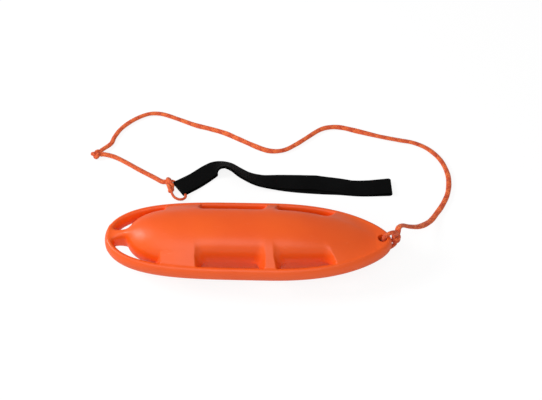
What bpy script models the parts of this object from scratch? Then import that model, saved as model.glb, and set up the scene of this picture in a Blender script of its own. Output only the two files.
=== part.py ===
# Rescue buoy: a moulded torpedo float with hand-holds, a tow line and a shoulder strap.
# Metres, +Z up. The nose points to +X, the line and the strap lie on the +Y side, and the
# origin is on the ground under the middle of the float.

import math

import bmesh
import bpy
import numpy as np
from mathutils import Vector

# Float, seen from above: a grab rim runs round the whole outline.
BODY_LENGTH = 0.700
RIM_REACH = 0.101  # from the middle to the rim's centreline, where the float is widest
WIDEST_X = 0.0535
RIM_WIDTH = 0.020
RIM_HEIGHT = 0.040
REAR_BLUNTNESS = 4.15  # power of the outline's rear end
REAR_ROUNDNESS = 2.1
NOSE_PINCH = 0.245  # how much slimmer than an ellipse the nose is at its tip

# Hull: the round body that the rim goes round.
HULL_HALF_WIDTH = 0.090
HULL_HALF_THICKNESS = 0.0728
MID_HEIGHT = 0.0720  # height of the parting plane, so the belly is cut flat below it
DOME_TIP_X = -0.295
DOME_START_X = -0.050
DOME_FULLNESS = 2.4
NOSE_TAPER_X = 0.040
NOSE_TAPER_POWER = 2.2
NOSE_TAPER_EASE = 1.3

# Webs: the fairing that runs from the hull's shoulder out to the rim.
WEB_REAR = (-0.2212, 0.34)  # its rear facet, given like the hand-holds' ends below
WEB_LEAN = tuple(math.radians(a) for a in (56, 50, 44, 38, 32))  # from upright, on the hull
WEB_PROUD = 0.0007  # how far the fairing stands out from the hull there
WEB_ROOT_SINK = 0.0030
WEB_EDGE_SINK = (0.0030, 0.0005)  # its edge below the rim's crest, amidships and at the nose
WEB_EDGE_X = (0.080, 0.220)  # between these it goes from the one to the other

# Hand-holds: slots through the webs, with draft from the parting plane. Each end is given by
# its x at the parting plane and END_REACH out, and by its run forwards for each metre outwards.
LONG_SLOT = ((-0.1055, -0.26), (0.0225, 0.40))
SHORT_SLOT = ((0.0825, -0.13), (0.1945, 0.78))
END_REACH = 0.065
END_DRAFT = 0.42  # run over rise, at the ends
SLOT_WALL = 0.067  # half width of the hull's wall in the slots, where the hull is widest
SLOT_WALL_TOP = 0.75  # the wall turns upright at this share of that half width
SLOT_CORNER = 0.014

# Neck between the dome and the rear grip: x, half width, height above and below the middle.
NECK = (
    (-0.3300, 0.0230, 0.0235, 0.0190),
    (-0.3230, 0.0155, 0.0265, 0.0195),
    (-0.3150, 0.0120, 0.0305, 0.0205),
    (-0.3000, 0.0105, 0.0365, 0.0250),
    (-0.2880, 0.0130, 0.0405, 0.0285),
    (-0.2500, 0.0160, 0.0440, 0.0300),
)

# Tow eye in the nose.
EYE_X = 0.3255
EYE_RADIUS = 0.0105
EYE_FLARE = 0.0035
EYE_HALF_THICKNESS = 0.0225
EYE_FLAT_X = 0.308

# Inside: a moulded wall round a foam filling, closed by a screw plug in the belly.
WALL = 0.0045
CORE_HALF_WIDTH = 0.055
CORE_NOSE_X = 0.275
CORE_SQUARENESS = 2.6
GAP = 0.0003
VENT_X = -0.150
VENT_RADIUS = 0.0080
VENT_BOSS_RADIUS = 0.0210
VENT_BOSS_HEIGHT = 0.0170
POCKET_RADIUS = 0.0140
POCKET_DEPTH = 0.0055
PLUG_HEAD = 0.0032
PLUG_SLOT = (0.0030, 0.0016)  # width and depth of the coin slot
SEAL_THICKNESS = 0.0010

# Tow line: one braided rope with a knot at the eye, one half way and one at the strap.
LINE_RADIUS = 0.0060
LINE_Z = 0.0062
LINE_GAP = 0.0008  # between a run of the line and its knots
LINE_LEAD = 0.0080  # how far the line leaves a knot before it bends
EYE_LOOP_RADIUS = 0.0050
EYE_LOOP_TURN = math.radians(25)  # the loop's place round the eye, from +X towards +Y
EYE_LOOP_REACH = 0.0390
EYE_LOOP_BEND = 0.01745
EYE_LOOP_CREST = 0.0120
NOSE_KNOT = (0.0110, 0.0260)  # radius and length
MID_KNOT = (0.0145, 0.0180)
STRAP_KNOT = (0.0090, 0.0500)
NOSE_KNOT_PORT = math.radians(75)  # where the line leaves the knot, seen from above
MID_KNOT_AT = (-0.4215, 0.3325)
MID_KNOT_IN = math.radians(54)
MID_KNOT_OUT = math.radians(2)
LINE_ROUTE = (
    (0.3680, 0.0435, 0.0790),
    (0.3790, 0.0575, 0.0710),
    (0.4020, 0.0700, 0.0510),
    (0.4285, 0.0870, 0.0320),
    (0.4575, 0.1175, 0.0150),
    (0.4780, 0.1505, 0.0075),
    (0.4960, 0.1810, LINE_Z),
    (0.5115, 0.2180, LINE_Z),
    (0.5180, 0.2560, LINE_Z),
    (0.5170, 0.2900, LINE_Z),
    (0.5065, 0.3280, LINE_Z),
    (0.4890, 0.3575, LINE_Z),
    (0.4650, 0.3815, LINE_Z),
    (0.4320, 0.3990, LINE_Z),
    (0.3965, 0.4070, LINE_Z),
    (0.3445, 0.4195, LINE_Z),
    (0.2905, 0.4360, LINE_Z),
    (0.2375, 0.4515, LINE_Z),
    (0.2035, 0.4510, LINE_Z),
    (0.1765, 0.4390, LINE_Z),
    (0.1405, 0.4075, LINE_Z),
    (0.1140, 0.3845, LINE_Z),
    (0.0840, 0.3640, LINE_Z),
    (0.0520, 0.3585, LINE_Z),
    (0.0200, 0.3675, LINE_Z),
    (-0.0380, 0.3990, LINE_Z),
    (-0.0805, 0.4225, LINE_Z),
    (-0.1225, 0.4380, LINE_Z),
    (-0.1645, 0.4515, LINE_Z),
    (-0.2090, 0.4715, LINE_Z),
    (-0.2470, 0.4880, LINE_Z),
    (-0.2710, 0.4935, LINE_Z),
    (-0.2950, 0.4915, LINE_Z),
    (-0.3210, 0.4785, LINE_Z),
    (-0.3470, 0.4570, LINE_Z),
    (-0.3685, 0.4300, LINE_Z),
    (-0.3815, 0.4005, LINE_Z),
    (-0.3880, 0.3765, LINE_Z),
)
TAIL_ROUTE = (
    (-0.3735, 0.3280, LINE_Z),
    (-0.3435, 0.3110, LINE_Z),
    (-0.2990, 0.2815, LINE_Z),
    (-0.2610, 0.2580, LINE_Z),
)

# Shoulder strap: one band of webbing sewn into a loop, lying in two layers.
STRAP_WIDTH = 0.050
STRAP_THICKNESS = 0.0020
STRAP_LIFT = 0.0002  # under the lower layer
STRAP_LOOP_RADIUS = 0.0035
# The lower layer's far edge: x, y, and the tilt in degrees that lifts its near edge.
STRAP_ROUTE = (
    (-0.2030, 0.2405, 0.0),
    (-0.1670, 0.2670, 0.0),
    (-0.1315, 0.2975, 3.0),
    (-0.1075, 0.3125, 12.0),
    (-0.0835, 0.3155, 28.0),
    (-0.0595, 0.3095, 35.0),
    (-0.0355, 0.2940, 39.0),
    (-0.0090, 0.2790, 30.0),
    (0.0230, 0.2720, 16.0),
    (0.0730, 0.2705, 4.0),
    (0.1270, 0.2665, 0.0),
    (0.1820, 0.2630, 0.0),
    (0.2320, 0.2615, 0.0),
    (0.2870, 0.2580, 0.0),
    (0.3590, 0.2615, 0.0),
)
# Along the strap: share of its length, space between the layers, sideways shift of the upper.
STRAP_LAYERS = (
    (0.00, 0.0102, 0.000),
    (0.08, 0.0060, 0.002),
    (0.18, 0.0040, 0.004),
    (0.30, 0.0055, 0.001),
    (0.45, 0.0034, 0.001),
    (0.60, 0.0032, 0.009),
    (0.68, 0.0032, 0.012),
    (0.77, 0.0032, 0.006),
    (0.84, 0.0034, 0.001),
    (0.92, 0.0060, 0.001),
    (1.00, 0.0110, 0.001),
)

HULL_SIDES = 32
HULL_STATIONS = 20
WEB_STATIONS = 26
RIM_STATIONS = 72
RIM_SIDES = 12
CORE_SIDES = 20
CORE_STATIONS = 18
STRAP_STATIONS = 44

REAR_X = RIM_WIDTH / 2 - BODY_LENGTH / 2
NOSE_X = BODY_LENGTH / 2 - RIM_WIDTH / 2
PART_NAME = "rescue_buoy"


def start_scene():
    for thing in list(bpy.data.objects):
        bpy.data.objects.remove(thing, do_unlink=True)
    groups = []
    for name in (PART_NAME, "cutters"):
        group = bpy.data.collections.new(name)
        bpy.context.scene.collection.children.link(group)
        groups.append(group)
    return groups


parts, cutters = start_scene()


def finish(name, colour, roughness, metallic=0.0):
    material = bpy.data.materials.new(name)
    material.use_nodes = True
    shader = material.node_tree.nodes["Principled BSDF"]
    shader.inputs["Base Color"].default_value = (*colour, 1.0)
    shader.inputs["Roughness"].default_value = roughness
    shader.inputs["Metallic"].default_value = metallic
    return material


def place(thing, material=None, cutter=False):
    """Links an object as a part, or as a cutter that only shapes the parts."""
    (cutters if cutter else parts).objects.link(thing)
    if material:
        thing.data.materials.append(material)
    if cutter:
        thing.hide_render = True
        thing.display_type = "WIRE"
    return thing


def loft(name, rings, material=None, closed=False, cutter=False):
    """Skins rings of equal point counts, an array of (rings, points, 3), and caps the ends."""
    rings = np.asarray(rings, float)
    count, around = rings.shape[:2]
    shape = bmesh.new()
    rows = [[shape.verts.new(point) for point in ring] for ring in rings]
    for i in range(count if closed else count - 1):
        low, high = rows[i], rows[(i + 1) % count]
        for j in range(around):
            k = (j + 1) % around
            shape.faces.new((low[j], low[k], high[k], high[j]))
    if not closed:
        shape.faces.new(rows[0])
        shape.faces.new(rows[-1])
    bmesh.ops.recalc_face_normals(shape, faces=shape.faces)
    mesh = bpy.data.meshes.new(name)
    shape.to_mesh(mesh)
    shape.free()
    mesh.shade_smooth()
    mesh.set_sharp_from_angle(angle=math.radians(40))
    return place(bpy.data.objects.new(name, mesh), material, cutter)


def turned(name, profile, at, material=None, steps=24, cutter=False):
    """A Screw of (radius, height) points that run from the top down to the bottom."""
    mesh = bpy.data.meshes.new(name)
    points = [(radius, 0.0, height) for radius, height in profile]
    mesh.from_pydata(points, [(i, i + 1) for i in range(len(points) - 1)], [])
    thing = place(bpy.data.objects.new(name, mesh), material, cutter)
    thing.location = at
    screw = thing.modifiers.new("turn", "SCREW")
    screw.steps = screw.render_steps = steps
    screw.use_merge_vertices = True
    screw.merge_threshold = 0.00001
    screw.use_normal_calculate = False
    screw.use_smooth_shade = True
    return thing


def combine(thing, other, operation):
    step = thing.modifiers.new(other.name, "BOOLEAN")
    step.operation = operation
    step.solver = "EXACT"
    step.object = other


def rim_reach(x):
    """Half width of the rim's centreline at x: a blunt rear end and a slimmer nose."""
    rear = np.clip((WIDEST_X - x) / (WIDEST_X - REAR_X), 0.0, 1.0)
    nose = np.clip((x - WIDEST_X) / (NOSE_X - WIDEST_X), 0.0, 1.0)
    rear_share = (1 - rear**REAR_BLUNTNESS) ** (1 / REAR_ROUNDNESS)
    nose_share = np.sqrt(1 - nose**2) * (1 - NOSE_PINCH * nose**4)
    return RIM_REACH * np.where(x < WIDEST_X, rear_share, nose_share)


def dome_share(x):
    away = np.clip((DOME_START_X - x) / (DOME_START_X - DOME_TIP_X), 0.0, 1.0)
    return (1 - away**DOME_FULLNESS) ** (1 / DOME_FULLNESS)


def hull_width(x):
    """Half width of the hull at x: a dome behind, and in front it follows the rim."""
    follow = np.where(x < WIDEST_X, 1.0, rim_reach(x) / RIM_REACH)
    return HULL_HALF_WIDTH * dome_share(x) * follow


def hull_thickness(x):
    """Half thickness of the hull at x: a dome behind, and a taper to the tow eye."""
    run = np.clip((x - NOSE_TAPER_X) / (EYE_FLAT_X - NOSE_TAPER_X), 0.0, 1.0)
    fall = (1 - run**NOSE_TAPER_POWER) ** NOSE_TAPER_EASE
    nose = EYE_HALF_THICKNESS + 0.0010
    return (nose + (HULL_HALF_THICKNESS - nose) * fall) * dome_share(x)


def even(points, count):
    """The same line again, with count points evenly spaced along it."""
    points = np.asarray(points, float)
    steps = np.linalg.norm(np.diff(points, axis=0), axis=1)
    along = np.concatenate([[0.0], np.cumsum(steps)])
    at = np.linspace(0.0, along[-1], count)
    return np.stack([np.interp(at, along, column) for column in points.T], axis=1)


def smooth(route, fine=16):
    """A Catmull-Rom curve through the route's points."""
    route = np.asarray(route, float)
    ends = (2 * route[:1] - route[1:2], 2 * route[-1:] - route[-2:-1])
    held = np.concatenate([ends[0], route, ends[1]])
    t = np.arange(fine)[:, None] / fine
    line = []
    for a, b, c, d in zip(held[:-3], held[1:-2], held[2:-1], held[3:]):
        bend = (2 * a - 5 * b + 4 * c - d) * t**2 + (3 * b - a - 3 * c + d) * t**3
        line.append(b + 0.5 * ((c - a) * t + bend))
    return np.concatenate([*line, route[-1:]])


def superellipse(width, height, power, sides):
    """Points of |y/width|^power + |z/height|^power = 1."""
    turn = np.arange(sides) * 2 * math.pi / sides
    c, s = np.cos(turn), np.sin(turn)
    y = width * np.sign(c) * np.abs(c) ** (2 / power)
    z = height * np.sign(s) * np.abs(s) ** (2 / power)
    return np.stack([y, z], axis=1)


def sections(stations, outline):
    """Upright rings across X at the stations, round the parting plane."""
    rings = []
    for x in stations:
        yz = outline(x)
        ring = np.column_stack([np.full(len(yz), x), yz[:, 0], MID_HEIGHT + yz[:, 1]])
        rings.append(ring)
    return rings


def make_hull():
    """The round body: ellipses from the dome's tip to the inside of the nose rim."""
    angle = np.linspace(math.radians(3), math.pi / 2, HULL_STATIONS // 2)
    dome = DOME_START_X - (DOME_START_X - DOME_TIP_X) * np.cos(angle)
    nose_end = NOSE_X - 0.001
    run = np.sin(np.linspace(0, math.pi / 2, HULL_STATIONS)[1:])
    front = DOME_START_X + (nose_end - DOME_START_X) * run
    stations = np.concatenate([dome, front])

    def outline(x):
        return superellipse(hull_width(x), hull_thickness(x), 2.0, HULL_SIDES)

    return loft("hull_form", sections(stations, outline), cutter=True)


def make_web(plastic):
    """The fairing between hull and rim: straight flanks from the shoulder to the rim."""
    root = WEB_REAR[0] - 0.020
    run = np.sin(np.linspace(0, math.pi / 2, WEB_STATIONS))
    stations = root + (NOSE_X - 0.002 - root) * run
    lean = np.array(WEB_LEAN)

    def outline(x):
        wide, thick, out = hull_width(x), hull_thickness(x), rim_reach(x)
        edge = RIM_HEIGHT / 2 - np.interp(x, WEB_EDGE_X, WEB_EDGE_SINK)
        proud = np.full(len(lean), WEB_PROUD)
        proud[-1] = -WEB_ROOT_SINK
        y, z = (wide + proud) * np.sin(lean), (thick + proud) * np.cos(lean)
        rim = np.array([[out, min(edge, thick)]])
        quarter = np.concatenate([rim, np.column_stack([y, z])])
        back = quarter[::-1]
        return np.concatenate(
            [
                quarter,
                back * (-1, 1),
                quarter * (-1, -1),
                back * (1, -1),
            ]
        )

    return loft("buoy_shell", sections(stations, outline), plastic)


def make_rim():
    """The grab rim: an upright oval carried round the whole outline."""
    half = RIM_STATIONS // 2
    angle = np.linspace(0, math.pi, 721)
    front = WIDEST_X + (NOSE_X - WIDEST_X) * np.cos(angle)
    back = WIDEST_X + (WIDEST_X - REAR_X) * np.cos(angle)
    x = np.where(angle < math.pi / 2, front, back)
    side = even(np.column_stack([x, rim_reach(x)]), half + 1)
    line = np.concatenate([side, side[-2:0:-1] * (1, -1)])
    along = np.roll(line, -1, axis=0) - np.roll(line, 1, axis=0)
    along /= np.linalg.norm(along, axis=1)[:, None]
    outward = np.column_stack([along[:, 1], -along[:, 0]])
    turn = np.arange(RIM_SIDES) * 2 * math.pi / RIM_SIDES
    rings = []
    for point, out in zip(line, outward):
        across = RIM_WIDTH / 2 * np.cos(turn)
        flat = point + out * across[:, None]
        rings.append(np.column_stack([flat, MID_HEIGHT + RIM_HEIGHT / 2 * np.sin(turn)]))
    return loft("rim_form", rings, closed=True, cutter=True)


def make_neck():
    rings = []
    for x, wide, above, below in NECK:
        yz = superellipse(wide, 1.0, 3.2, 16)
        yz[:, 1] *= np.where(yz[:, 1] > 0, above, below)
        ring = np.column_stack([np.full(len(yz), x), yz[:, 0], MID_HEIGHT + yz[:, 1]])
        rings.append(ring)
    return loft("neck_form", rings, cutter=True)


def draft_levels():
    """Heights of the cutters' rings: above, at and below the parting plane."""
    rises = (0.018, 0.034, 0.048, HULL_HALF_THICKNESS + 0.020)
    return (*(-rise for rise in rises[::-1]), 0.0, *rises)


def end_x(end, out, rise, way):
    """Where a hand-hold ends, this far out and above the parting plane, behind or in front."""
    x, slant = end
    return x + slant * (out - END_REACH) + way * END_DRAFT * rise


def slot_wall(x, rise):
    """Half width of the wall in a hand-hold: a slimmer hull, upright from its shoulder up."""
    share = math.sqrt(1 - min(rise / float(hull_thickness(x)), 1.0) ** 2)
    return SLOT_WALL * float(hull_width(x)) / HULL_HALF_WIDTH * max(share, SLOT_WALL_TOP)


def make_slot(name, ends, side):
    """A hand-hold's cutter: rounded towards the hull, and open through the rim's place."""
    rings = []
    outer = RIM_REACH + RIM_WIDTH
    corner = np.linspace(0, math.pi / 2, 5)
    for level in draft_levels():
        rise = abs(level)
        rear, front = ends
        points = [(end_x(rear, outer, rise, -1), outer), (end_x(front, outer, rise, 1), outer)]
        for end, way, turns in ((front, 1, corner), (rear, -1, corner[::-1])):
            wall = slot_wall(np.array(end[0]), rise)
            for a in turns:
                out = wall + SLOT_CORNER * (1 - math.sin(a))
                across = SLOT_CORNER * (1 - math.cos(a))
                points.append((end_x(end, out, rise, way) - way * across, out))
        rings.append([(x, side * y, MID_HEIGHT + level) for x, y in points])
    return loft(name, rings, cutter=True)


def make_rear_cut():
    """Takes the web away behind the rear facets, so only the dome and the rim stay there."""
    rings = []
    outer, inner = RIM_REACH + RIM_WIDTH, 0.040
    for level in draft_levels():
        back = WEB_REAR[0] - 0.060
        points = [(back, outer)]
        for out in (outer, inner):
            points.append((end_x(WEB_REAR, out, abs(level), 1), out))
        points += [(x, -y) for x, y in points[::-1]]
        rings.append([(x, y, MID_HEIGHT + level) for x, y in points])
    return loft("rear_cut", rings, cutter=True)


def make_eye_flat(side):
    """Cuts the nose flat round the tow eye, on top for side 1 and underneath for -1."""
    low, high = EYE_HALF_THICKNESS, EYE_HALF_THICKNESS + 0.030
    outline = ((EYE_FLAT_X, low), (NOSE_X + 0.030, low), (NOSE_X + 0.030, high))
    outline += ((EYE_FLAT_X - 0.030, high),)
    rings = []
    for y in (-RIM_REACH, RIM_REACH):
        rings.append([(x, y, MID_HEIGHT + side * z) for x, z in outline])
    return loft("eye_flat", rings, cutter=True)


def make_belly_cut():
    """Cuts the belly level where the float rests."""
    rings = []
    for z in (-0.020, 0.0):
        half = HULL_HALF_WIDTH
        rings.append([(x, y, z) for x, y in ((-0.3, -half), (0.3, -half), (0.3, half), (-0.3, half))])
    return loft("belly_cut", rings, cutter=True)


def make_core(name, share=1.0, material=None):
    """The filling's form, a superellipse inside the hull and clear of the slots' walls."""
    tail = DOME_TIP_X + WALL * 3
    angle = np.linspace(0, math.pi, CORE_STATIONS)
    middle, half = (tail + CORE_NOSE_X) / 2, (CORE_NOSE_X - tail) / 2
    stations = middle - half * np.cos(angle)

    def outline(x):
        follow = CORE_HALF_WIDTH * rim_reach(x) / RIM_REACH
        wide = min(follow, hull_width(x) - WALL)
        return superellipse(wide, hull_thickness(x) - WALL, CORE_SQUARENESS, CORE_SIDES)

    centre = np.array([middle, 0.0, MID_HEIGHT])
    rings = centre + (np.array(sections(stations, outline)) - centre) * share
    return loft(name, rings, material, cutter=material is None)


def vent_floor():
    """Height of the belly's skin at the vent."""
    return MID_HEIGHT - float(hull_thickness(np.array(VENT_X)))


def make_post(name, radius, top):
    """An upright cylinder from below the belly up to a height, at the vent."""
    low = -0.010
    profile = ((0.0, top), (radius, top), (radius, low), (0.0, low))
    return turned(name, profile, (VENT_X, 0.0, 0.0), cutter=True)


def make_eye_hole():
    reach = EYE_HALF_THICKNESS + 0.004
    flare = EYE_RADIUS + EYE_FLARE + 0.004
    inner = EYE_HALF_THICKNESS - EYE_FLARE
    profile = ((0, reach), (flare, reach), (EYE_RADIUS, inner), (EYE_RADIUS, -inner))
    profile += ((flare, -reach), (0, -reach))
    return turned("eye_hole", profile, (EYE_X, 0.0, MID_HEIGHT), cutter=True)


def make_shell(plastic):
    """The one-piece moulding: webs, hull, rim and neck joined, then cut and hollowed."""
    shell = make_web(plastic)
    combine(shell, make_rear_cut(), "DIFFERENCE")
    combine(shell, make_hull(), "UNION")
    for side, word in ((1, "left"), (-1, "right")):
        for slot, ends in (("long", LONG_SLOT), ("short", SHORT_SLOT)):
            combine(shell, make_slot(f"{slot}_slot_{word}", ends, side), "DIFFERENCE")
    combine(shell, make_rim(), "UNION")
    combine(shell, make_neck(), "UNION")
    for side in (1, -1):
        combine(shell, make_eye_flat(side), "DIFFERENCE")
    combine(shell, make_belly_cut(), "DIFFERENCE")
    combine(shell, make_eye_hole(), "DIFFERENCE")
    hollow = make_core("hollow_form")
    boss = make_post("vent_boss", VENT_BOSS_RADIUS, vent_floor() + VENT_BOSS_HEIGHT)
    combine(hollow, boss, "DIFFERENCE")
    combine(shell, hollow, "DIFFERENCE")
    pocket = make_post("plug_pocket", POCKET_RADIUS, vent_floor() + POCKET_DEPTH)
    combine(shell, pocket, "DIFFERENCE")
    bore_top = vent_floor() + VENT_BOSS_HEIGHT + 0.005
    combine(shell, make_post("vent_bore", VENT_RADIUS, bore_top), "DIFFERENCE")
    return shell


def make_foam(foam):
    core = make_core("foam_core", 1 - 1.5 * GAP / CORE_HALF_WIDTH, foam)
    top = vent_floor() + VENT_BOSS_HEIGHT + GAP
    combine(core, make_post("boss_clearance", VENT_BOSS_RADIUS + GAP, top), "DIFFERENCE")


def make_plug(plastic, rubber):
    """A coin-slot screw plug with a flat seal under its head, standing in the vent."""
    seat = vent_floor() + POCKET_DEPTH
    seal_top = seat - GAP
    seal_bottom = seal_top - SEAL_THICKNESS
    head_top = seal_bottom - GAP
    head_bottom = head_top - PLUG_HEAD
    head, shank = POCKET_RADIUS - 0.0010, VENT_RADIUS - GAP
    tip = vent_floor() + VENT_BOSS_HEIGHT - 0.001
    bevel = 0.0010
    profile = (
        (0, tip),
        (shank - bevel, tip),
        (shank, tip - bevel),
        (shank, head_top),
        (head, head_top),
        (head, head_bottom + bevel / 2),
        (head - bevel / 2, head_bottom),
        (0, head_bottom),
    )
    plug = turned("vent_plug", profile, (VENT_X, 0, 0), plastic)
    width, depth = PLUG_SLOT
    rings = []
    for z in (head_bottom - 0.002, head_bottom + depth):
        half, reach = width / 2, POCKET_RADIUS
        outline = ((-reach, -half), (reach, -half), (reach, half), (-reach, half))
        rings.append([(VENT_X + x, y, z) for x, y in outline])
    combine(plug, loft("coin_slot", rings, cutter=True), "DIFFERENCE")
    inner, outer = shank + GAP, head - 0.0010
    ring = ((inner, seal_top), (outer, seal_top), (outer, seal_bottom), (inner, seal_bottom))
    turned("vent_plug_seal", (*ring, ring[0]), (VENT_X, 0, 0), rubber)


def rope(name, points, radius, material):
    """A round tube on a poly spline through the points, none of it under the ground."""
    points = np.array(points)
    points[:, 2] = np.maximum(points[:, 2], radius + LINE_Z - LINE_RADIUS)
    curve = bpy.data.curves.new(name, "CURVE")
    curve.dimensions = "3D"
    curve.bevel_depth = radius
    curve.bevel_resolution = 2
    curve.use_fill_caps = True
    spline = curve.splines.new("POLY")
    spline.points.add(len(points) - 1)
    for spot, point in zip(spline.points, points):
        spot.co = (*point, 1.0)
    spline.use_smooth = True
    return place(bpy.data.objects.new(name, curve), material)


def knot(name, size, at, axis, material, wraps=3):
    """A knot's outer shape: turns of rope side by side, fullest in the middle."""
    radius, length = size
    turn = length / wraps
    profile = [(0.0, length / 2)]
    steps = 4 * wraps
    for i in range(steps + 1):
        z = length / 2 - length * i / steps
        waist = abs(math.sin(math.pi * (z + length / 2) / turn))
        swell = math.sqrt(max(0.0, 1 - (1.75 * z / length) ** 2))
        profile.append((radius * (0.80 + 0.20 * waist) * swell, z))
    profile.append((0.0, -length / 2))
    thing = turned(name, profile, at, material, steps=16)
    thing.rotation_euler = Vector(axis).to_track_quat("Z", "Y").to_euler()
    return thing


def eye_frame():
    """The loop's outward direction from the eye's axis, seen from above."""
    return np.array([math.cos(EYE_LOOP_TURN), math.sin(EYE_LOOP_TURN), 0.0])


def eye_point(out, up):
    return np.array([EYE_X, 0.0, MID_HEIGHT]) + eye_frame() * out + np.array([0.0, 0.0, up])


def make_eye_loop(rope_look):
    """The line's loop through the eye: down inside the hole and back up outside the nose."""
    inner = EYE_LOOP_REACH - 2 * EYE_LOOP_BEND
    straight = NOSE_KNOT[1] / 2 + GAP
    middle = EYE_LOOP_REACH - EYE_LOOP_BEND
    points = [(EYE_LOOP_REACH, straight)]
    for a in np.linspace(0, math.pi, 11):
        rise = straight + 0.004 + EYE_LOOP_CREST * math.sin(a)
        points.append((middle + EYE_LOOP_BEND * math.cos(a), rise))
    points += [(inner, 0.0)]
    points += [(out, -up) for out, up in points[-2::-1]]
    rope("nose_loop", [eye_point(out, up) for out, up in points], EYE_LOOP_RADIUS, rope_look)


def port(centre, angle, radius):
    """Two points of a line that leaves a knot's side in a level direction, past a gap."""
    way = np.array([math.cos(angle), math.sin(angle), 0.0])
    return [np.asarray(centre) + (radius + out) * way for out in (LINE_GAP, LINE_LEAD)]


def make_line(rope_look):
    """The main run of the tow line, from the nose knot round to the knot half way."""
    start = eye_point(EYE_LOOP_REACH, 0.0)
    knot("nose_knot", NOSE_KNOT, start, (0, 0, 1), rope_look)
    middle = (*MID_KNOT_AT, MID_KNOT[1] / 2 + GAP)
    knot("mid_knot", MID_KNOT, middle, (0, 0, 1), rope_look)
    first = port(start, NOSE_KNOT_PORT, NOSE_KNOT[0])
    last = port(middle, MID_KNOT_IN, MID_KNOT[0])
    route = smooth([*first, *LINE_ROUTE, *last[::-1]])
    rope("tow_line", even(route, 72), LINE_RADIUS, rope_look)
    return middle


def strap_frame(share):
    """Along the strap: far edge of the lower layer, direction, across and upward axes."""
    dense = smooth(STRAP_ROUTE)
    steps = np.linalg.norm(np.diff(dense[:, :2], axis=0), axis=1)
    along = np.concatenate([[0.0], np.cumsum(steps)]) / steps.sum()
    x, y, tilt = (np.interp(share, along, column) for column in dense.T)
    tilt = np.maximum(tilt, 0.0)
    near = 0.004
    ahead = [np.interp(np.minimum(share + near, 1), along, c) for c in dense.T[:2]]
    behind = [np.interp(np.maximum(share - near, 0), along, c) for c in dense.T[:2]]
    forward = np.stack([ahead[0] - behind[0], ahead[1] - behind[1], 0 * x], axis=-1)
    forward /= np.linalg.norm(forward, axis=-1, keepdims=True)
    level = np.stack([forward[..., 1], -forward[..., 0], 0 * x], axis=-1)
    lean = np.radians(tilt)[..., None]
    up = np.array([0.0, 0.0, 1.0])
    across = np.cos(lean) * level + np.sin(lean) * up
    above = np.cross(across, forward)
    edge = np.stack([x, y, 0 * x], axis=-1)
    return edge, forward, across, above


def strap_layers(share):
    table = np.array(STRAP_LAYERS)
    return (np.interp(share, table[:, 0], table[:, k]) for k in (1, 2))


def strap_pivot():
    """Middle of the strap's rear fold, where the line's small loop goes through it."""
    edge, forward, across, above = strap_frame(np.array(0.0))
    rise = STRAP_LIFT + STRAP_THICKNESS / 2 + STRAP_LAYERS[0][1] / 2
    centre = edge + across * STRAP_WIDTH / 2 + above * rise
    return centre, forward, across


def make_strap(webbing):
    """One band of webbing: along the lower layer, round the front fold, back on the upper."""
    share = np.linspace(0, 1, STRAP_STATIONS)
    edge, forward, across, above = strap_frame(share)
    space, shift = (values[:, None] for values in strap_layers(share))
    rise = STRAP_LIFT + STRAP_THICKNESS / 2
    lower = edge + across * STRAP_WIDTH / 2 + above * rise
    upper = lower + above * space - across * shift
    middle = [(point, side, -up) for point, side, up in zip(lower, across, above)]
    turn = np.linspace(0, math.pi, 7)[1:-1]
    for a in turn:
        out = math.sin(a) * forward[-1] - math.cos(a) * above[-1]
        centre = (lower[-1] + upper[-1]) / 2
        middle.append((centre + out * space[-1] / 2, across[-1], out))
    middle += [(p, side, up) for p, side, up in zip(upper[::-1], across[::-1], above[::-1])]
    for a in turn:
        out = math.cos(a) * above[0] - math.sin(a) * forward[0]
        centre = (lower[0] + upper[0]) / 2
        middle.append((centre + out * space[0] / 2, across[0], out))
    half, thin = STRAP_WIDTH / 2, STRAP_THICKNESS / 2
    rings = []
    for point, side, out in middle:
        corners = ((half, thin), (-half, thin), (-half, -thin), (half, -thin))
        rings.append([point + side * a + out * b for a, b in corners])
    loft("shoulder_strap", rings, webbing, closed=True)


def make_strap_end(middle, rope_look):
    """The line's tail, the knot at its end and the small loop through the strap's fold."""
    centre, forward, across = strap_pivot()

    def spot(near, back, up=0.0):
        return centre + across * near - forward * back + np.array([0.0, 0.0, up])

    rest = STRAP_KNOT[0] + LINE_GAP - centre[2]
    heart = spot(-0.0235, 0.0165, rest)
    axis = spot(0.0550, 0.0210) - centre
    axis /= np.linalg.norm(axis)
    knot("strap_knot", STRAP_KNOT, heart, axis, rope_look, wraps=4)
    reach = STRAP_KNOT[1] / 2 + LINE_GAP
    route = [
        heart + axis * reach,
        heart + axis * (reach + 0.005),
        spot(0.0180, 0.0285, rest * 0.6),
        spot(0.0290, 0.0235, rest * 0.2),
        spot(0.0350, 0.0145),
        spot(0.0345, 0.0060),
        spot(0.0295, 0.0010),
        spot(STRAP_WIDTH / 2, 0.0),
        spot(0.0, 0.0),
        spot(-STRAP_WIDTH / 2, 0.0),
        spot(-0.0295, 0.0),
        spot(-0.0325, 0.0015),
    ]
    rope("strap_loop", even(smooth(route), 40), STRAP_LOOP_RADIUS, rope_look)
    start = port(middle, MID_KNOT_OUT, MID_KNOT[0])
    level = np.cross(axis, (0, 0, 1))
    level *= -np.sign(level[0])
    end = heart - axis * 0.013 + level * (STRAP_KNOT[0] + 2 * LINE_GAP)
    route = smooth([*start, *TAIL_ROUTE, end + (-0.0095, 0.0015, 0.0), end])
    rope("line_tail", even(route, 14), LINE_RADIUS, rope_look)


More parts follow.
